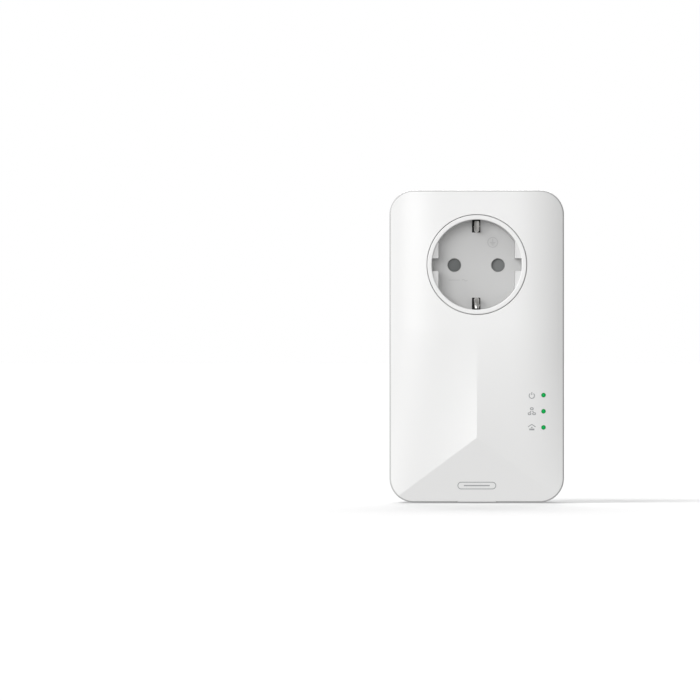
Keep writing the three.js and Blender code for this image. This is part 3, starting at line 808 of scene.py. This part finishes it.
def socketInsert():
    outer, well, collar, radius = (socket[name] for name in ("ringOuter", "well", "collar", "body"))
    back = floorY + socket["floor"]
    collarFront, collarBack = ringY + socket["collarFront"], ringY + socket["collarBack"]
    profile = [(0, back), (radius, back), (radius, collarBack), (collar, collarBack), (collar, collarFront),
               (outer, collarFront)]
    ringRound, wellRound, floorRound = socket["ringRound"], socket["wellRound"], socket["floorRound"]
    profile += arcPoints(outer - ringRound, ringY + ringRound, ringRound, 0, -90)
    profile += arcPoints(well + wellRound, ringY + wellRound, wellRound, -90, -180)
    profile += arcPoints(well - floorRound, floorY - floorRound, floorRound, 0, 90)
    profile.append((0, floorY))
    bm = bmesh.new()
    latheInto(bm, profile, 160)
    body = meshObject("socketInsert", bm)
    bm = bmesh.new()
    for side in (-1, 1):
        hole = socket["pinHole"]
        latheInto(bm, [(0, floorY - 1), (hole + socket["pinHoleFlare"], floorY - 1), (hole, floorY + 0.2),
                       (hole, floorY + 4), (0, floorY + 4)], 48, side * socket["pinX"])
        half = socket["clipSlot"] / 2
        low, high = sorted((side * socket["clipSlotInner"], side * socket["clipSlotOuter"]))
        boxInto(bm, (-half, ringY + socket["clipSlotFront"], low), (half, floorY + 4, high))
    cutWith(body, meshObject("holes", bm))
    return body


def guideBlocks():
    # four blocks beside the well, cut from its round wall by a chord and a channel
    inset, half, well = socket["guideInset"], socket["channel"] / 2, socket["well"] + 0.25
    top = math.sqrt(well ** 2 - inset ** 2)
    first, last = math.asin(half / well), math.atan2(top, inset)
    turns = [first + (last - first) * i / 16 for i in range(17)]
    points = [(well * math.cos(t), well * math.sin(t)) for t in turns] + [(inset, half)]
    bm = bmesh.new()
    for sx in (-1, 1):
        for sz in (-1, 1):
            prismInto(bm, [(sx * x, sz * z) for x, z in points], ringY + socket["guideFront"], floorY + 0.4)
    return bevelEdges(meshObject("guideBlocks", bm), socket["guideEdge"], 3, 40)


def lineInto(bm, points, width, surface, proud, closed=False):
    # a raised line of rectangular section along points drawn on a surface seen from the front
    count = len(points)
    rows = []
    for i, (u, v) in enumerate(points):
        before = points[i - 1] if i or closed else points[i]
        after = points[(i + 1) % count] if i + 1 < count or closed else points[i]
        along = Vector((after[0] - before[0], after[1] - before[1])).normalized()
        nu, nv = -along.y * width / 2, along.x * width / 2
        rows.append([surface(u + nu, v + nv, -0.05), surface(u + nu, v + nv, proud),
                     surface(u - nu, v - nv, proud), surface(u - nu, v - nv, -0.05)])
    addRings(bm, rows, closed)


floorSign = {
    "earthAt": (7.2, 9.9),
    "earthRadius": 2.15,
    "line": 0.34,
    "proud": 0.3,
    "thinLine": 0.3,
    "thinProud": 0.26,
    "bar": [(-12.0, -6.5), (-7.2, -6.5)],
    "waveFrom": (-6.2, -6.6),
}


def onFloor(u, v, proud):
    return (u, floorY - proud, v)


def floorSigns():
    # the earth sign, and the sign for alternating current beside a plain bar
    bm = bmesh.new()
    (cu, cv), line, proud = floorSign["earthAt"], floorSign["line"], floorSign["proud"]
    lineInto(bm, circle(floorSign["earthRadius"], 48, cu, cv), line, onFloor, proud, True)
    lineInto(bm, [(cu, cv + 1.6), (cu, cv - 0.05)], line, onFloor, proud)
    for drop, half in ((0.05, 1.25), (0.6, 0.8), (1.15, 0.36)):
        lineInto(bm, [(cu - half, cv - drop), (cu + half, cv - drop)], line, onFloor, proud)
    line, proud = floorSign["thinLine"], floorSign["thinProud"]
    lineInto(bm, floorSign["bar"], line, onFloor, proud)
    u, v = floorSign["waveFrom"]
    wave = [(u + 2.4 * i / 16, v + 0.34 * math.sin(2 * math.pi * i / 16)) for i in range(17)]
    lineInto(bm, wave, line, onFloor, proud)
    return meshObject("floorSigns", bm)


def join(name, *objects):
    for obj in objects:
        obj.select_set(False)
    whole, parts = objects[0], list(objects)
    with bpy.context.temp_override(active_object=whole, object=whole, selected_objects=parts,
                                   selected_editable_objects=parts):
        bpy.ops.object.join()
    whole.name = name
    return whole


def socketShade(point):
    # painted shade: the ring is left bright, the well below it is painted darker, the raised signs darker
    # still and the slots darkest
    radius = math.hypot(point.x, point.z)
    if point.y < ringY + 0.9:
        return 0.0
    inWall = socket["well"] + 0.3 < radius < socket["clipSlotOuter"] + 0.1
    if inWall or (point.y > floorY + 0.3 and radius > socket["clipSlotInner"] - 0.1):
        return paintedShades["inside"]
    if math.hypot(abs(point.x) - socket["pinX"], point.z) < socket["pinHole"] + 0.3:
        return paintedShades["pinHole"]
    onSign = floorY - 0.45 < point.y < floorY - 0.1 and radius < socket["guideInset"] - 0.1
    return paintedShades["sign"] if onSign else paintedShades["well"]


def buildSocket():
    parts = [dress(part, finishes["socket_white"]) for part in (socketInsert(), guideBlocks(), floorSigns())]
    whole = join("socketInsert", *parts)
    paintShade(whole, socketShade)
    return finishPiece(whole, "root", "socket_white", "socket_insert")


# angles in degrees; the slope is what an entering pin pushes aside
shutter = {"wing": 23.0, "hub": 4.2, "hubGap": math.degrees(0.5), "bore": 1.7, "slopeHalf": 3.3, "edge": 0.12}


def shutterDisc():
    # two wings with ramps under the pin holes, on a hub
    low, high = nodeBox("shutter")
    wing = shutter["wing"]
    notch = wing + shutter["hubGap"]
    points = []
    for turn in (0, 180):
        points += arcPoints(0, 0, high.x, turn - wing, turn + wing, 12)
        points += arcPoints(0, 0, shutter["hub"], turn + notch, turn + 180 - notch, 10)
    bm = bmesh.new()
    prismInto(bm, points, low.y, high.y)
    body = meshObject("shutterDisc", bm)
    bm = bmesh.new()
    bore, half, pinX = shutter["bore"], shutter["slopeHalf"], socket["pinX"]
    latheInto(bm, [(0, low.y - 1), (bore, low.y - 1), (bore, high.y + 1), (0, high.y + 1)], 32)
    slope = [(-5.0, low.y - 1), (-3.2, low.y - 0.01), (half, low.y + 0.85), (half, low.y - 1)]
    for side in (-1, 1):  # set across the hole
        addRings(bm, [[(side * (pinX - (t - along) / math.sqrt(2)), y, side * (t + along) / math.sqrt(2))
                       for t, y in slope] for along in (-half, half)])
    cutWith(body, meshObject("cuts", bm))
    bevelEdges(body, shutter["edge"], 2, 35)
    dress(body, finishes["shutter_grey"])
    return finishPiece(body, "shutter", "shutter_grey", "shutter")


# line is (y, distance from the middle) along the strip, from behind the floor to the mouth of the well
clip = {
    "line": [(-30, 16.75), (-36, 16.75), (-39, 16.72), (-41, 16.5), (-42.8, 16.05), (-44.2, 15.5),
             (-45.6, 15.02), (-47, 14.75), (-48.2, 14.74), (-49.4, 14.98), (-50.6, 15.5), (-51.7, 16.2),
             (-52.7, 17.05), (-53.6, 17.95), (-54.2, 18.6), (-54.5, 18.95)],
    "width": 2.25,
    "thick": 0.46,
    "height": 0.4,
    "steps": 8,
}


def earthClip(name, side):
    # a sprung strip with a rounded back, which stands out most where it bows into the well
    line, width, thick, steps = (clip[name] for name in ("line", "width", "thick", "steps"))
    bm = bmesh.new()
    rows = []
    for i, (y, r) in enumerate(line):
        before, after = line[max(0, i - 1)], line[min(len(line) - 1, i + 1)]
        along = Vector((after[0] - before[0], after[1] - before[1])).normalized()
        normal = Vector((along.y, -along.x))
        if normal.y > 0:
            normal = -normal
        tip = max(0.0, (r - 17.6) / 1.35) if y < -50 else 0.0
        half = width / 2 * (1 - 0.3 * tip ** 2)
        ring = []
        height = clip["height"] * (1 + max(0.0, (16.2 - r) / 1.5))
        for k in range(steps + 1):  # the rounded face, towards the well's middle
            u = -1 + 2 * k / steps
            bow = height * (1 - u * u) - 0.1
            ring.append((u * half, y + normal.x * bow, side * (r + normal.y * bow)))
        for u in (1, 0, -1):
            ring.append((u * half, y - normal.x * thick / 2, side * (r - normal.y * thick / 2)))
        rows.append(ring)
    addRings(bm, rows)
    obj = dress(meshObject(name, bm), finishes["nickel"], 50)
    node = "earth_clip_top" if side > 0 else "earth_clip_bottom"
    return finishPiece(obj, node, "nickel", node)


buildSocket()
shutterDisc()
earthClip("earthClipTop", 1)
earthClip("earthClipBottom", -1)
print("socket made")


plug = {
    "radius": 18.8,
    "flat": 16.2,
    "rib": 5.0,
    "edge": 1.0,
    "flange": 1.8,
    "groove": 2.6,
    "grooveFloor": 16.6,
    "pinRadius": 2.4,
    "pinGap": 0.12,
    "pinTip": 2.2,
    "pinHead": 3.4,
    "pinHeadLength": 2.5,
    "earthHole": 2.75,
    "earthHoleZ": 10.0,
}


def plugBody():
    radius, edge, flangeY = plug["radius"], plug["edge"], plugLow.y
    profile = [(0, flangeY), (plugHigh.x, flangeY), (plugHigh.x, flangeY + plug["flange"]),
               (radius, flangeY + plug["flange"])]
    profile += arcPoints(radius - edge, -edge, edge, 0, 90, 6)
    profile.append((0, 0))
    bm = bmesh.new()
    latheInto(bm, profile, 128)
    body = meshObject("plugBody", bm)
    bm = bmesh.new()
    hole = plug["pinRadius"] + plug["pinGap"]
    for side in (-1, 1):
        low, high = sorted((side * plug["flat"], side * 30))
        for v0, v1 in ((-30, -plug["rib"] / 2), (plug["rib"] / 2, 30)):
            boxInto(bm, (low, backY + 1, v0), (high, 2, v1))
        low, high = sorted((side * plug["grooveFloor"], side * 30))
        boxInto(bm, (-plug["groove"], backY + 1, low), (plug["groove"], 2, high))
        latheInto(bm, [(0, -13), (hole, -13), (hole, -0.25), (hole + 1.28, 1), (0, 1)], 48,
                  side * socket["pinX"])
    hole = plug["earthHole"]
    latheInto(bm, [(0, -14.6), (hole, -14.6), (hole, -0.3), (hole + 1.35, 1), (0, 1)], 48, 0,
              plug["earthHoleZ"])
    cutWith(body, meshObject("cuts", bm))
    bevelEdges(body, 0.25, 2, 40)
    # painted shade: the foot, inside the casing, is painted darker
    dress(body, finishes["socket_white"], 25,
          lambda point: paintedShades["holeWall"] if point.y < backY - 0.5 else 0.0)
    return finishPiece(body, "root", "socket_white", "plug_body")


def plugPins():
    # two pins, set out in a row
    low, high = nodeBox("line_pin")
    radius, head, dome = plug["pinRadius"], plug["pinHead"], plug["pinTip"]
    headEnd, domeStart = low.y + plug["pinHeadLength"], high.y - dome
    profile = [(0, low.y), (head - 0.1, low.y), (head, low.y + 0.1), (head, headEnd), (radius, headEnd + 0.1),
               (radius, 0), (radius, domeStart)]
    profile += [(radius * math.cos(math.radians(a)), domeStart + dome * math.sin(math.radians(a)))
                for a in range(12, 90, 13)]
    profile.append((0, high.y))
    bm = bmesh.new()
    latheInto(bm, profile, 48)
    pins = setOut("plugPins", meshObject("pin", bm), 2, 1, 2 * socket["pinX"], 1, finishes["nickel"])
    smooth(pins, 30)
    return finishPiece(pins, "root", "nickel", "line_pin", "neutral_pin")


plugBody()
plugPins()
print("plug made")


def pairButton():
    low, high = nodeBox("pair_button")
    buttonY, buttonZ = edgeY + button["depth"], bottomZ + button["height"]
    halfY, halfZ = button["halfDepth"], button["halfHeight"]
    slope = casing["taper"] / casing["depth"]
    top = halfWidth - taperAt(button["depth"])
    bm = bmesh.new()
    addRings(bm, [[(low.x + button["flange"], y, z) for y, z in buttonOutline()],
                  [(min(high.x, top - (y - buttonY) * slope), y, z) for y, z in buttonOutline()]])
    body = bevelEdges(meshObject("pairButton", bm), button["edge"], 3, 30)
    bm = bmesh.new()
    boxInto(bm, (low.x, buttonY - halfY - 0.6, buttonZ - halfZ - 0.8),
            (low.x + button["flange"] + 0.1, buttonY + halfY + 0.1, buttonZ + halfZ + 0.8))
    flange = bevelEdges(meshObject("flange", bm), 0.1, 1, 30)

    def onButton(u, v, proud):  # u runs up the casing and v along its depth
        return (min(high.x, top - v * slope) - 0.03 + proud, buttonY + v, buttonZ + u)

    bm = bmesh.new()
    for side in (-1, 1):  # two linked rings
        lineInto(bm, circle(button["ring"], 32, side * button["ringShift"], 0), 0.26, onButton, 0.03, True)
    sign = meshObject("linkSign", bm)
    for part in (body, flange):
        dress(part, finishes["casing_white"])
    oneMaterial(sign, inkGrey)
    finishPiece(sign, "pair_button", "casing_white")
    return finishPiece(join("pairButton", body, flange), "pair_button", "casing_white", "pair_button")


jack = {
    "mouthHalf": 5.95,
    "stepHalf": 3.2,
    "notchHalf": 2.0,
    "step": 1.4,
    "edge": 0.22,
    "wires": 8,
    "pitch": 1.27,
}


def ethernetJack():
    low, high = jackLow, jackHigh
    front, back, notch, end = low.y + 1.8, high.y - 4.6, high.y - 1.8, low.z + 14
    step = notch - jack["step"]
    bm = bmesh.new()
    boxInto(bm, low, high)
    body = meshObject("ethernetJack", bm)
    bm = bmesh.new()
    # half of the mouth's outline, with its stepped latch notch
    half = [(jack["mouthHalf"], front), (jack["mouthHalf"], back), (jack["stepHalf"], back),
            (jack["stepHalf"], step), (jack["notchHalf"], step), (jack["notchHalf"], notch)]
    outlinePoints = [(-half[0][0], front), *half] + [(-u, v) for u, v in half[:0:-1]]
    prismInto(bm, outlinePoints, low.z - 1, end, "z")
    cutWith(body, meshObject("mouth", bm))
    bevelEdges(body, jack["edge"], 2, 40)
    dress(body, finishes["jack_grey"])
    finishPiece(body, "root", "jack_grey", "ethernet_jack")
    bm = bmesh.new()
    y, z = front + 0.3, low.z + 3.2
    prismInto(bm, [(y, z), (y + 0.35, z - 0.1), (front + 3.2, end - 2.9), (front + 3.2, end - 0.5),
                   (front + 0.6, end - 0.5), (front + 0.6, end - 2.6)], -0.22, 0.22, "x")
    wires = setOut("jackWires", meshObject("wire", bm), jack["wires"], 1, jack["pitch"], 1, finishes["brass"])
    return finishPiece(wires, "root", "brass", "jack_contacts")


guide = {"radius": 0.88, "dome": 0.25, "bar": 1.2, "edge": 0.25}


def lightGuide():
    bm = bmesh.new()
    radius, dome = guide["radius"], guide["dome"]
    for z in lightZ:
        front = edgeY - crown(lightX, z) + 0.05
        profile = [(0, guideHigh.y - 0.5), (radius, guideHigh.y - 0.5), (radius, front + dome)]
        profile += [(radius * math.cos(math.radians(a)), front + dome - dome * math.sin(math.radians(a)))
                    for a in (20, 45, 70)]
        profile.append((0, front))
        latheInto(bm, profile, 32, lightX, z)
    pipes = meshObject("lightGuide", bm)
    bm = bmesh.new()
    boxInto(bm, (guideLow.x, guideHigh.y - guide["bar"], guideLow.z), guideHigh)
    bar = bevelEdges(meshObject("bar", bm), guide["edge"], 2, 30)
    for part in (pipes, bar):
        dress(part, finishes["guide_clear"], 35)
    return finishPiece(join("lightGuide", pipes, bar), "root", "guide_clear", "light_guide")


def onCrown(u, v, proud):
    return (u, edgeY - crown(u, v) - proud, v)


def printedSigns():
    # plain signs for power, network and home, and a plain bar mark, printed on the cover
    line, proud = 0.38, 0.02
    x = lightX - 5.1
    bm = bmesh.new()
    z = lightZ[0] - 0.25
    lineInto(bm, arcPoints(x, z, 1.15, 124, 414, 29), line, onCrown, proud)
    lineInto(bm, [(x, z + 1.5), (x, z + 0.3)], line, onCrown, proud)
    z = lightZ[1]
    lineInto(bm, roundedBox(0.6, 0.38, 0.3, 4, x, z + 1.15), line, onCrown, proud, True)
    for side in (-1, 1):
        lineInto(bm, roundedBox(0.6, 0.38, 0.3, 4, x + side * 0.98, z - 1.05), line, onCrown, proud, True)
        lineInto(bm, [(x + side * 0.22, z + 0.2), (x + side * 0.75, z - 0.35)], line, onCrown, proud)
    z = lightZ[2] - 0.1
    lineInto(bm, [(x - 1.6, z + 0.35), (x, z + 1.45), (x + 1.6, z + 0.35)], line, onCrown, proud)
    lineInto(bm, [(x - 0.35, z + 0.1), (x + 0.35, z + 0.1)], 0.45, onCrown, proud)
    lineInto(bm, [(x - 1.1, z - 0.75), (x + 1.1, z - 0.75)], 0.75, onCrown, proud)
    z = bottomZ + 7.3
    lineInto(bm, roundedBox(8.2, 1.45, 1.4, 8, 0, z), 0.34, onCrown, proud, True)
    lineInto(bm, [(-5.6, z), (5.6, z)], 0.5, onCrown, proud)
    signs = oneMaterial(meshObject("printedSigns", bm), inkGrey)
    return finishPiece(signs, "root", "casing_white")


screw = {"shank": 1.35, "head": 2.65, "headHeight": 1.9, "arm": 1.5, "slot": 0.32, "crossDepth": 1.3}


def caseScrews():
    low, high = nodeBox("case_screw_1")
    head, shank, wide = high.y, screw["shank"], screw["head"]
    under = head - screw["headHeight"]
    bm = bmesh.new()
    latheInto(bm, [(0, low.y), (1.0, low.y + 0.8), (shank, low.y + 1.6), (shank, under), (wide - 0.05, under),
                   (wide, head - 0.7), (2.2, head - 0.2), (1.2, head - 0.02), (0, head)], 32)
    body = meshObject("screw", bm)
    bm = bmesh.new()
    arm, half = screw["arm"], screw["slot"]
    cross = [(arm, half), (half, half), (half, arm), (-half, arm), (-half, half), (-arm, half)]
    cross += [(-u, -v) for u, v in cross]
    addRings(bm, [[(u * 0.5, head - screw["crossDepth"], v * 0.5) for u, v in cross],
                  [(u, head + 0.3, v) for u, v in cross]])
    cutWith(body, meshObject("cross", bm))
    rows = []
    for (x, z), name in ((screwAt[0], "lower"), (screwAt[2], "upper")):
        copy = body.copy()
        copy.data = body.data.copy()
        bpy.context.scene.collection.objects.link(copy)
        rows.append(setOut(name, copy, 2, 1, 2 * abs(x), 1, finishes["steel"],
                           Matrix.Translation((0, 0, z * mm))))
    bpy.data.objects.remove(body)
    for row in rows:
        smooth(row, 30)
    return finishPiece(join("caseScrews", *rows), "root", "steel", *screwNodes)


pairButton()
ethernetJack()
lightGuide()
printedSigns()
caseScrews()
print("small parts made")


slots = {part["node"]: part["material_slot"] for part in frame["record"]["subparts"]}
# painted shade: the earth bracket behind the clip slots gets the darker steel, so the slots read as shade
slots["earth_bracket"] = "dark_steel"
for name, node in frame["nodes"].items():
    oneMaterial(node, finishes[slots[name]])


# the camera stands off the ring, in metres, and left of and below the casing's middle, in millimetres
view = {"distance": 3.0, "lens": 356.4, "left": 54.93, "below": 1.56}
stageSettings = {"floorDrop": 0.0004, "floorSize": 60.0, "ambient": 0.28, "tone": 0.7, "glow": 0.25}
# seen from the object: degrees to the left of the camera, degrees up, spread, brightness on white
lamps = {
    "key": (60, 60, 24, 0.385),
    "side": (70, 15, 24, 0.4),
    "frontNear": (6, 4, 14, 0.183),
    "frontLeft": (18, 8, 14, 0.14),
    "room": (0, 0, 100, 0.155),
    "back": (180, 33, 36, 0.64),
}


def addCamera():
    data = bpy.data.cameras.new("camera")
    data.sensor_width = 36
    data.lens = view["lens"]
    data.clip_end = 50
    camera = bpy.data.objects.new("camera", data)
    bpy.context.scene.collection.objects.link(camera)
    camera.location = (-view["left"] * mm, ringY * mm - view["distance"], (middleZ - view["below"]) * mm)
    camera.rotation_euler = (math.radians(90), 0, 0)
    bpy.context.scene.camera = camera


def addStage():
    bm = bmesh.new()
    half = stageSettings["floorSize"] / 2 / mm
    tone = stageSettings["tone"]
    z = bottomZ - stageSettings["floorDrop"] / mm
    corners = ((-half, -half), (half, -half), (half, half), (-half, half))
    bm.faces.new([bm.verts.new((x, y, z)) for x, y in corners])
    floor = meshObject("floor", bm, material("paleFloor", (tone,) * 3, (tone * 0.99,) * 3, 0.9, 0.02,
                                             specular_ior_level=0.0, emission_color=(1, 1, 1, 1),
                                             emission_strength=stageSettings["glow"]))
    floor.data.flip_normals()  # a lone face is turned downwards when it is made
    floor.visible_diffuse = False  # the soft room light comes from all round, so the floor adds none
    floor.visible_glossy = False


def addLights():
    for name, (left, up, spread, brightness) in lamps.items():
        data = bpy.data.lights.new(name, "SUN")
        data.energy = math.pi * brightness
        data.angle = math.radians(spread)
        obj = bpy.data.objects.new(name, data)
        left, up = math.radians(left), math.radians(up)
        towards = Vector((-math.sin(left) * math.cos(up), -math.cos(left) * math.cos(up), math.sin(up)))
        obj.rotation_euler = towards.to_track_quat("Z", "Y").to_euler()
        bpy.context.scene.collection.objects.link(obj)
    world = bpy.data.worlds.new("studio")
    world.use_nodes = True
    bpy.context.scene.world = world
    tree = world.node_tree
    sky = tree.nodes["Background"]
    sky.inputs["Color"].default_value = (1, 1, 1, 1)
    path = tree.nodes.new("ShaderNodeLightPath")
    strength = tree.nodes.new("ShaderNodeMapRange")  # white to the eye, softer as light
    strength.inputs["To Min"].default_value = stageSettings["ambient"]
    strength.inputs["To Max"].default_value = 1.0
    tree.links.new(path.outputs["Is Camera Ray"], strength.inputs["Value"])
    tree.links.new(strength.outputs["Result"], sky.inputs["Strength"])
    bpy.context.scene.view_settings.view_transform = "Standard"


addCamera()
addStage()
addLights()
print("stage set")
